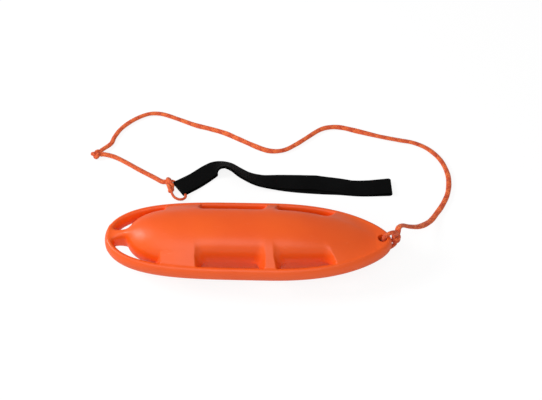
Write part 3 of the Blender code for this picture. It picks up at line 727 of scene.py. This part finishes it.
def strapLayers():
    # The middle of the band at each point, all the way round: the lower layer, a half circle up,
    # the upper layer back and a half circle down. With it go its sideways and outward axes.
    share = np.linspace(0, 1, int(strap["run"] / strap["step"]))
    edge, forward, across, above = strapFrame(share)
    table = np.array(strap["layers"])
    space, shift = (np.interp(share, table[:, 0], table[:, k])[:, None] for k in (1, 2))
    rise = strap["lift"] + strap["thickness"] / 2
    lower = edge + across * strap["width"] / 2 + above * rise
    upper = lower + above * space - across * shift
    turn = np.linspace(0, math.pi, strap["foldSteps"])[1:-1, None]

    def fold(low, high, out, rising, gap):
        # A half circle from the lower layer's end to the upper one's.
        way = np.sin(turn) * out - np.cos(turn) * rising
        return (low + high) / 2 + way * gap / 2, way

    front, frontWay = fold(lower[-1], upper[-1], forward[-1], above[-1], space[-1])
    back, backWay = fold(lower[0], upper[0], -forward[0], above[0], space[0])
    bends = len(turn)
    middle = np.concatenate([lower, front, upper[::-1], back[::-1]])
    sides = np.concatenate(
        [across, np.repeat(across[-1:], bends, 0), across[::-1], np.repeat(across[:1], bends, 0)]
    )
    return middle, sides, np.concatenate([-above, frontWay, above[::-1], backWay[::-1]])


def strapSection():
    # A flat band with half round edges, a hair thicker along its selvedges: across and out.
    half, thin = strap["width"] / 2, strap["thickness"] / 2
    flat = np.linspace(-half + thin, half - thin, strap["across"])
    cap = np.linspace(-math.pi / 2, math.pi / 2, strap["capSteps"])[1:-1]
    right = np.stack([half - thin + thin * np.cos(cap), thin * np.sin(cap)], axis=1)
    topSide = np.stack([flat[::-1], np.full(len(flat), thin)], axis=1)
    lowSide = np.stack([flat, np.full(len(flat), -thin)], axis=1)
    section = np.concatenate([lowSide, right, topSide, right[::-1] * (-1, 1)])
    around = lengths(section)
    start, end, step, extra = strap["selvedge"]
    out = np.abs(section[:, 0])
    section[:, 1] *= 1 + extra * np.clip((out - start) / step, 0, 1) * (out < end)
    return section, np.append(around, around[-1] + strap["closing"])


def makeStrap():
    # The section carried along the layers.
    middle, sides, outs = strapLayers()
    section, around = strapSection()
    along = lengths(np.concatenate([middle, middle[:1]]))
    a, b = section[None, :, :1], section[None, :, 1:]
    points = (middle[:, None] + sides[:, None] * a + outs[:, None] * b).reshape(-1, 3)
    quads, uv = tubeGrid(around, along, True)
    look = webbingMaterial()
    piece = meshPiece("shoulderStrap", points, quads, "strap", look, uv)
    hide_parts("shoulder_strap")
    print("strap:", round(float(along[-1]), 4))


makeStrap()
print("stage: strap")


# Float

shell = {
    "length": 0.700,
    "rimReach": 0.101,
    "widestX": 0.0535,
    "rimHalf": (0.010, 0.020),  # of the rim's section, in plan and in height
    "rearBluntness": 4.15,
    "rearRoundness": 2.1,
    "nosePinch": 0.245,
    "half": (0.090, 0.0728),  # the hull's half width and half thickness
    "leastHalf": 0.004,
    "middle": 0.0720,
    "domeTip": -0.295,
    "domeStart": -0.050,
    "domeFullness": 2.4,
    # The dome's back stands higher: from, to, height, and the rise over which that comes in.
    "domeLift": (-0.14, -0.27, 0.007, 0.03),
    "taper": (0.040, 0.308, 2.2, 1.3),  # start, end, power and ease
    "noseHalf": 0.0235,
    "webEdge": ((0.080, 0.0170), (0.220, 0.0195)),  # x and the fairing's half height at the rim
    # Each end's x at the middle height and endReach out, and its run forwards per metre outwards.
    "webRear": (-0.2212, 0.34),
    "slots": (((-0.1055, -0.26), (0.0225, 0.40)), ((0.0825, -0.13), (0.1945, 0.78))),
    "bridgeX": 0.052,  # in the bridge between the long hand-hold and the short one
    "endReach": 0.065,
    "endDraft": 0.42,
    # The slimmer hull in the slots: its half width, the power of its outline, and how far its
    # top stands over the hull's.
    "wall": (0.0665, 2.75, 0.010),
    "corner": 0.014,
    "cornerBlend": 0.020,  # the space over which an end's soft edge becomes the wall's
    # x, half width, and height above and below the middle.
    "neck": (
        (-0.3400, 0.0260, 0.0195, 0.0180), (-0.3300, 0.0200, 0.0215, 0.0185),
        (-0.3220, 0.0150, 0.0232, 0.0190), (-0.3120, 0.0125, 0.0260, 0.0200),
        (-0.3000, 0.0120, 0.0295, 0.0225), (-0.2880, 0.0135, 0.0330, 0.0250),
        (-0.2600, 0.0180, 0.0370, 0.0270),
    ),
    "neckPower": 3.2,
    "neckEnds": (-0.338, -0.262),
    # x, radius, half thickness of the flat round it, where that starts, and its slope before.
    "eye": (0.3255, 0.0105, 0.0230, 0.310, 0.45),
    "vent": (-0.150, 0.014, 0.0055, 0.008, 0.022),  # x, pocket radius, depth, bore radius, depth
    # Widths over which two surfaces round into each other.
    "edgeSoft": 0.0028,
    "wallSoft": 0.016,
    "facetFillet": 0.003,
    "webSoft": 0.003,
    "rimSoft": 0.006,
    "neckSoft": 0.012,
    "flatSoft": 0.006,
    "eyeSoft": 0.0045,
    "ventSoft": 0.0012,
    "groundSoft": 0.0008,
}
rearX = shell["rimHalf"][0] - shell["length"] / 2
noseX = shell["length"] / 2 - shell["rimHalf"][0]


def smoothMax(a, b, k):
    # The larger of two distances. Where they differ by less than k, it gets a sixth of k more,
    # times the cube of how near they are to each other.
    h = np.maximum(k - np.abs(a - b), 0.0) / k
    return np.maximum(a, b) + h**3 * k / 6


def smoothMin(a, b, k):
    return -smoothMax(-a, -b, k)


def rimReach(x):
    # Half width of the rim's centreline. Behind the widest place it is 1 less the distance to
    # the power of the bluntness, to the power of 1 over the roundness. Ahead it is a quarter
    # ellipse, times 1 less the pinch times the distance to the power of 4.
    widest = shell["widestX"]
    r = np.clip((widest - x) / (widest - rearX), 0, 1)
    t = np.clip((x - widest) / (noseX - widest), 0, 1)
    rear = (1 - r ** shell["rearBluntness"]) ** (1 / shell["rearRoundness"])
    nose = np.sqrt(1 - t**2) * (1 - shell["nosePinch"] * t**4)
    return shell["rimReach"] * np.where(x < widest, rear, nose)


planMap = {
    "reach": (0.375, 0.140),  # in x and in y
    "step": 0.00125,
    "curveStep": 0.0005,
    "near": 0.125,  # a spot's nearest point on the curve is never this far off in x
}


def planTable():
    # Distance in plan to the nearest point of the rim's centreline, negative inside it, on a grid.
    angle = np.linspace(0, math.pi, 6001)
    widest = shell["widestX"]
    x = widest + np.where(angle < math.pi / 2, noseX - widest, widest - rearX) * np.cos(angle)
    curve = even(np.stack([x, rimReach(x)], axis=1), planMap["curveStep"]).astype(np.float32)
    step, (reachX, reachY) = planMap["step"], planMap["reach"]
    xs = np.arange(-reachX, reachX + step / 2, step)
    ys = np.arange(0, reachY + step / 2, step)
    table = np.empty((len(xs), len(ys)), np.float32)
    for i, spot in enumerate(xs):
        near = curve[np.abs(curve[:, 0] - spot) < planMap["near"]]
        gap = (near[:, 0] - spot) ** 2 + (near[:, 1] - ys[:, None].astype(np.float32)) ** 2
        table[i] = np.sqrt(gap.min(axis=1))
    inside = (ys[None] < rimReach(xs)[:, None]) & (xs > rearX)[:, None] & (xs < noseX)[:, None]
    return np.where(inside, -table, table), xs[0], step


planGrid, planLow, planStep = planTable()


def planDistance(x, y):
    # The table's value between its four nearest places.
    i = np.clip((x - planLow) / planStep, 0, planGrid.shape[0] - 1.001)
    j = np.clip(y / planStep, 0, planGrid.shape[1] - 1.001)
    i0, j0 = i.astype(int), j.astype(int)
    fi, fj = i - i0, j - j0
    low = planGrid[i0, j0] * (1 - fj) + planGrid[i0, j0 + 1] * fj
    high = planGrid[i0 + 1, j0] * (1 - fj) + planGrid[i0 + 1, j0 + 1] * fj
    return low * (1 - fi) + high * fi


def hullHalves(x):
    # The hull's half width and half thickness, before the dome rounds its rear. Ahead of the
    # widest place the width follows the rim. The thickness tapers as 1 less the distance to the
    # taper's power, to the power of its ease.
    wide = shell["half"][0] * np.where(x < shell["widestX"], 1.0, rimReach(x) / shell["rimReach"])
    start, end, power, ease = shell["taper"]
    run = np.clip((x - start) / (end - start), 0, 1)
    nose = shell["noseHalf"]
    thick = nose + (shell["half"][1] - nose) * (1 - run**power) ** ease
    return np.maximum(wide, shell["leastHalf"]), thick


def hullField(x, y, rise):
    # (a^n + k^n)^(1/n) - 1 over its slope: k is the ellipse's measure across the hull, and a
    # runs from 0 to 1 over the dome.
    n, span, near = shell["domeFullness"], shell["domeStart"] - shell["domeTip"], 0.001
    wide, thick = hullHalves(x)
    widePast, thickPast = hullHalves(x + near)
    k = np.maximum(np.hypot(y / wide, rise / thick), 1e-4)
    a = np.maximum((shell["domeStart"] - x) / span, 0.0)
    whole = (a**n + k**n) ** (1 / n)
    share = (k / whole) ** (n - 1)
    kx = -(y**2 * (widePast - wide) / wide**3 + rise**2 * (thickPast - thick) / thick**3) / k
    gx = share * kx / near - (a / whole) ** (n - 1) / span
    gy, gz = share * y / (wide**2 * k), share * rise / (thick**2 * k)
    return (whole - 1) / np.sqrt(gx**2 + gy**2 + gz**2)


def webField(x, y, rise, plan):
    # Under the flat flank that leaves the hull as a tangent and meets the rim's upper edge. Its
    # lean is the angle whose sine is 1 over the edge's measure, less the edge's own angle.
    a = np.clip((shell["domeStart"] - x) / (shell["domeStart"] - shell["domeTip"]), 0, 0.985)
    n = shell["domeFullness"]
    dome = (1 - a**n) ** (1 / n)
    wide, thick = (half * dome for half in hullHalves(x))
    out = rimReach(x) / wide
    edge = np.minimum(np.interp(x, *zip(*shell["webEdge"])), thick) / thick
    lean = np.arcsin(1 / np.maximum(np.hypot(out, edge), 1.0001)) - np.arctan2(edge, out)
    s, c = np.sin(lean), np.cos(lean)
    flank = (y * s / wide + rise * c / thick - 1) / np.hypot(s / wide, c / thick)
    past = (y - wide * s) * wide * c - (rise - thick * c) * thick * s
    past = past / np.hypot(wide * c, thick * s)
    return np.maximum(np.maximum(flank, -past), plan)


def endField(x, y, rise, end, way):
    # Distance past an end plane that leans with the draft and runs aslant in plan.
    at, slant = end
    draft = shell["endDraft"]
    plane = at + slant * (y - shell["endReach"]) + way * draft * rise
    return way * (x - plane) / math.sqrt(1 + slant**2 + draft**2)


def slotField(x, y, rise, slot):
    # A hand-hold's gap between two ends, open towards the rim. Inwards it stops at a slimmer and
    # squarer hull, by (1 - k) over k's slope: k is the sum of the two shares of its halves, each
    # to the wall's power, to the power of 1 over it. Ends and wall meet in a round corner.
    along = np.maximum(endField(x, y, rise, slot[0], -1), endField(x, y, rise, slot[1], 1))
    wide, thick = hullHalves(x)
    share, n, over = shell["wall"]
    wide = wide * share / shell["half"][0]
    thick = thick + over
    k = np.maximum(((y / wide) ** n + (rise / thick) ** n) ** (1 / n), 0.02)
    slope = np.hypot((y / wide / k) ** (n - 1) / wide, (rise / thick / k) ** (n - 1) / thick)
    inward = (1 - k) / np.maximum(slope, 1.0)
    r = shell["corner"]
    corner = np.hypot(np.maximum(along + r, 0), np.maximum(inward + r, 0))
    gap = corner - r + np.minimum(np.maximum(along, inward) + r, 0)
    blend = np.clip((inward - along) / shell["cornerBlend"] + 0.5, 0, 1)
    soft = shell["edgeSoft"] + (shell["wallSoft"] - shell["edgeSoft"]) * blend**2 * (3 - 2 * blend)
    return gap, soft


def liftedRise(x, z, rise):
    # The height from the middle, less the lift over the dome's back, so that the skin stands
    # higher there. The lift is a smooth step along x, and comes in evenly from the middle up.
    start, end, lift, comingIn = shell["domeLift"]
    share = np.clip((x - start) / (end - start), 0, 1)
    less = lift * share**2 * (3 - 2 * share) * np.minimum(rise / comingIn, 1)
    return np.where(z > shell["middle"], rise - less, rise)


def rimField(plan, rise):
    # k (k - 1) over half the slope of k^2: k is the measure of an upright ellipse that runs
    # round the rim's centreline.
    w, h = shell["rimHalf"]
    k = np.maximum(np.hypot(plan / w, rise / h), 1e-3)
    return k * (k - 1) / np.maximum(np.hypot(plan / w**2, rise / h**2), 1e-3)


def neckField(x, y, z, rise):
    # (k - 1) times the smaller half, between the neck's two ends. k is made as the slot's is,
    # with the neck's power, and the halves that its table gives along x.
    table = smooth(shell["neck"], 12)
    wide, tall, deep = (np.interp(x, table[:, 0], table[:, i]) for i in (1, 2, 3))
    high = np.where(z > shell["middle"], tall, deep)
    n, (back, front) = shell["neckPower"], shell["neckEnds"]
    k = np.maximum(((y / wide) ** n + (rise / high) ** n) ** (1 / n), 1e-3)
    neck = (k - 1) * np.minimum(wide, high)
    return np.maximum(neck, np.maximum(back - x, x - front))


def eyeField(x, y, rise):
    # The flats above and below the eye, which rise behind it at their slope, and its bore.
    eyeX, radius, half, flatX, slope = shell["eye"]
    over = rise - half
    return np.minimum(over, over + slope * (x - flatX)), radius - np.hypot(x - eyeX, y)


def shellField(p):
    # Distance from the float's skin, negative inside: the hull with its flanks, less the
    # hand-holds, with the rim and the neck, less what the eye, the vent and the ground cut off.
    x, y, z = p[:, 0], np.abs(p[:, 1]), p[:, 2]
    rise = np.abs(z - shell["middle"])
    plan = planDistance(x, y)
    hull = np.maximum(hullField(x, y, liftedRise(x, z, rise)), plan)
    facet = smoothMin(hull, -endField(x, y, rise, shell["webRear"], 1), shell["facetFillet"])
    web = smoothMax(webField(x, y, rise, plan), facet, shell["webSoft"])
    body = np.minimum(hull, web)
    long, longSoft = slotField(x, y, rise, shell["slots"][0])
    short, shortSoft = slotField(x, y, rise, shell["slots"][1])
    ahead = x > shell["bridgeX"]
    body = smoothMax(body, -np.where(ahead, short, long), np.where(ahead, shortSoft, longSoft))
    body = smoothMin(body, rimField(plan, rise), shell["rimSoft"])
    body = smoothMin(body, neckField(x, y, z, rise), shell["neckSoft"])
    flat, bore = eyeField(x, y, rise)
    body = smoothMax(smoothMax(body, flat, shell["flatSoft"]), bore, shell["eyeSoft"])
    ventX, pocket, depth, bore, deep = shell["vent"]
    ring = np.hypot(x - ventX, y)
    body = smoothMax(body, -np.maximum(ring - pocket, z - depth), shell["ventSoft"])
    body = np.maximum(body, -np.maximum(ring - bore, z - deep))
    return smoothMax(body, -z, shell["groundSoft"])


net = {
    "grid": 0.0023,
    "low": (-0.3535, -0.119, -0.0012),  # a box round the float
    "high": (0.3535, 0.119, 0.1475),
    "blocks": 8,
    "slopeReach": 0.0004,
    "rounds": 5,
    "stride": 0.5,  # the longest move in a round, as a share of a cell
    "evenRounds": (1, 2),
    "evenShare": 0.6,
}


def surfaceNet(field, low, high, step):
    # A vertex in each grid cell that the skin passes through, at the mean of where the skin
    # crosses the cell's edges, and a quad round each grid edge that it crosses.
    axes = [a + step * np.arange(int(math.ceil((b - a) / step)) + 1) for a, b in zip(low, high)]
    shape = tuple(len(axis) for axis in axes)
    value = np.empty(shape)
    for x in np.array_split(np.arange(shape[0]), net["blocks"]):
        block = np.stack(np.meshgrid(axes[0][x], axes[1], axes[2], indexing="ij"), axis=-1)
        value[x] = field(block.reshape(-1, 3)).reshape(block.shape[:3])
    total = value.size
    sums = np.zeros((total, 3))
    count = np.zeros(total)
    quads = []
    for axis in range(3):
        b, c = (axis + 1) % 3, (axis + 2) % 3
        head = [slice(None)] * 3
        tail = [slice(None)] * 3
        head[axis], tail[axis] = slice(None, -1), slice(1, None)
        first, second = value[tuple(head)], value[tuple(tail)]
        crossed = np.argwhere((first < 0) != (second < 0))
        crossed = crossed[(crossed[:, b] > 0) & (crossed[:, c] > 0)]
        f0 = first[tuple(crossed.T)]
        f1 = second[tuple(crossed.T)]
        spot = np.array(low) + step * crossed
        spot[:, axis] += step * f0 / (f0 - f1)
        ring = []
        for db, dc in ((0, 0), (1, 0), (1, 1), (0, 1)):
            cell = crossed.copy()
            cell[:, b] -= db
            cell[:, c] -= dc
            flat = np.ravel_multi_index(tuple(cell.T), shape)
            ring.append(flat)
            count += np.bincount(flat, minlength=total)
            for k in range(3):
                sums[:, k] += np.bincount(flat, weights=spot[:, k], minlength=total)
        ring = np.stack(ring, axis=1)
        inward = f0 >= 0
        ring[inward] = ring[inward][:, ::-1]
        quads.append(ring)
    quads = np.concatenate(quads)
    used = np.flatnonzero(count)
    number = np.full(total, -1)
    number[used] = np.arange(len(used))
    return sums[used] / count[used, None], number[quads]


def slopeOf(field, points):
    # Half the change between two points on either side, in each direction, over their distance.
    reach = net["slopeReach"]
    parts = [field(points + s) - field(points - s) for s in np.eye(3) * reach]
    return np.stack(parts, axis=1) / (2 * reach)


def settle(field, points, quads, step):
    # Moves each vertex onto the skin, against the slope by the distance over the slope's size,
    # and spreads the vertices evenly along it, each towards the mean of its neighbours.
    pairs = np.concatenate([quads[:, (i, (i + 1) % 4)] for i in range(4)])
    total = len(points)
    count = np.bincount(pairs[:, 0], minlength=total)[:, None]
    for turn in range(net["rounds"]):
        slope = slopeOf(field, points)
        size = np.maximum((slope**2).sum(axis=1), 0.2)
        shift = -field(points)[:, None] * slope / size[:, None]
        far = np.linalg.norm(shift, axis=1, keepdims=True)
        points = points + shift * np.minimum(1, net["stride"] * step / np.maximum(far, 1e-9))
        if turn in net["evenRounds"]:
            sums = [np.bincount(pairs[:, 0], points[pairs[:, 1], k], total) for k in range(3)]
            drift = np.stack(sums, axis=1) / count - points
            facing = unit(slope)
            drift = drift - facing * (drift * facing).sum(axis=1, keepdims=True)
            points = points + net["evenShare"] * drift
    return points, unit(slopeOf(field, points))


plastic = {
    "broad": (9.0, 2.0, 0.5),  # each noise's scale, detail and roughness
    "fine": (900.0, 2.0, 0.6),
    "wave": (26.0, 2.0, 0.5),
    "rub": (24.0, 4.0, 0.62),
    "scratch": (1.0, 3.0, 0.7),
    "scratchStretch": (14.0, 260.0, 260.0),  # long along the float
    "stops": (
        (0.30, (0.88, 0.094, 0.003)),
        (0.55, (0.91, 0.104, 0.004)),
        (0.78, (0.93, 0.114, 0.005)),
    ),
    "scratchFrom": (0.60, 0.72),  # where the noises start to show and show in full
    "rubFrom": (0.50, 0.66),
    "scuff": (0.93, 0.30, 0.16, 1.0),
    "scuffShare": 0.22,
    "rough": 0.34,
    "rubRough": 0.16,
    "scuffRough": 0.15,
    "fineRise": 0.035,
    "depth": 0.0009,
    "seam": (0.0009, 0.00025),  # half width and height
    "shader": {"Specular IOR Level": 0.5, "IOR": 1.5},
}


def plasticMaterial():
    made, tree, shader = newMaterial("polyethylene_orange")
    where = node(tree, "ShaderNodeTexCoord").outputs["Object"]
    height = node(tree, "ShaderNodeSeparateXYZ", {0: where}).outputs[2]
    base = ramp(tree, noise(tree, where, *plastic["broad"]), plastic["stops"])
    # Rubbed places and fine scratches along the float.
    lengthwise = stretched(tree, where, plastic["scratchStretch"])
    scratch = noise(tree, lengthwise, *plastic["scratch"])
    rub = noise(tree, where, *plastic["rub"])
    scratch = between(tree, scratch, *plastic["scratchFrom"])
    marks = calc(tree, "MULTIPLY", scratch, between(tree, rub, *plastic["rubFrom"]))
    share = calc(tree, "MULTIPLY", marks, plastic["scuffShare"])
    colour = mixed(tree, share, base, plastic["scuff"])
    rough = calc(tree, "MULTIPLY_ADD", rub, plastic["rubRough"], plastic["rough"])
    rough = calc(tree, "MULTIPLY_ADD", marks, plastic["scuffRough"], rough)
    wave, fine = noise(tree, where, *plastic["wave"]), noise(tree, where, *plastic["fine"])
    ripple = calc(tree, "MULTIPLY_ADD", fine, plastic["fineRise"], wave)
    normal = relief(tree, ripple, plastic["depth"])
    # The mould's parting line stands up a hair round the rim.
    seam = calc(tree, "ABSOLUTE", calc(tree, "SUBTRACT", height, shell["middle"]))
    seamHalf, seamRise = plastic["seam"]
    normal = relief(tree, between(tree, seam, seamHalf, 0.0), seamRise, normal)
    skin = {"Base Color": colour, "Roughness": rough, "Normal": normal}
    setInputs(tree, shader, {**skin, **plastic["shader"]})
    return made


def makeShell():
    step = net["grid"]
    # The grid's middle plane lies half a cell to each side of the float's.
    half = (math.ceil(net["high"][1] / step) - 0.5) * step
    low = (net["low"][0], -half, net["low"][2])
    high = (net["high"][0], half, net["high"][2])
    points, quads = surfaceNet(shellField, low, high, step)
    points, normals = settle(shellField, points, quads, step)
    points[:, 2] = np.maximum(points[:, 2], 0.0)
    look, slot = plasticMaterial(), "orange_polyethylene"
    piece = meshPiece("floatShell", points, quads, "buoy", look, normals=normals)
    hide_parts("buoy_shell")
    print("float:", len(points), "points,", 2 * len(quads), "triangles")


makeShell()
print("stage: float")


# Plug, seal and foam

inside = {  # each CAD node's material, colour, roughness and grain
    "vent_plug": ("nylon_black", (0.020, 0.020, 0.021), 0.35, 700.0),
    "vent_plug_seal": ("rubber_grey", (0.080, 0.080, 0.080), 0.60, 1100.0),
    "foam_core": ("foam_white", (0.84, 0.82, 0.75), 0.75, 420.0),
}


def smallMaterial(name, colour, rough, grain):
    made, tree, shader = newMaterial(name)
    where = node(tree, "ShaderNodeTexCoord").outputs["Object"]
    speck = noise(tree, where, grain, 3.0, 0.6)
    shade, uneven, depth = 0.72, 0.2, 0.00008  # the dark specks, and the grain in the finish
    tint = ramp(tree, speck, ((0.3, tuple(shade * c for c in colour)), (0.7, colour)))
    rougher = calc(tree, "MULTIPLY_ADD", speck, uneven, rough)
    normal = relief(tree, speck, depth)
    setInputs(tree, shader, {"Base Color": tint, "Roughness": rougher, "Normal": normal})
    return made


for nodeName, facts in inside.items():
    look = smallMaterial(*facts)
    for spot in bpy.data.objects[nodeName].material_slots:
        spot.material = look
print("stage: plug, seal and foam")
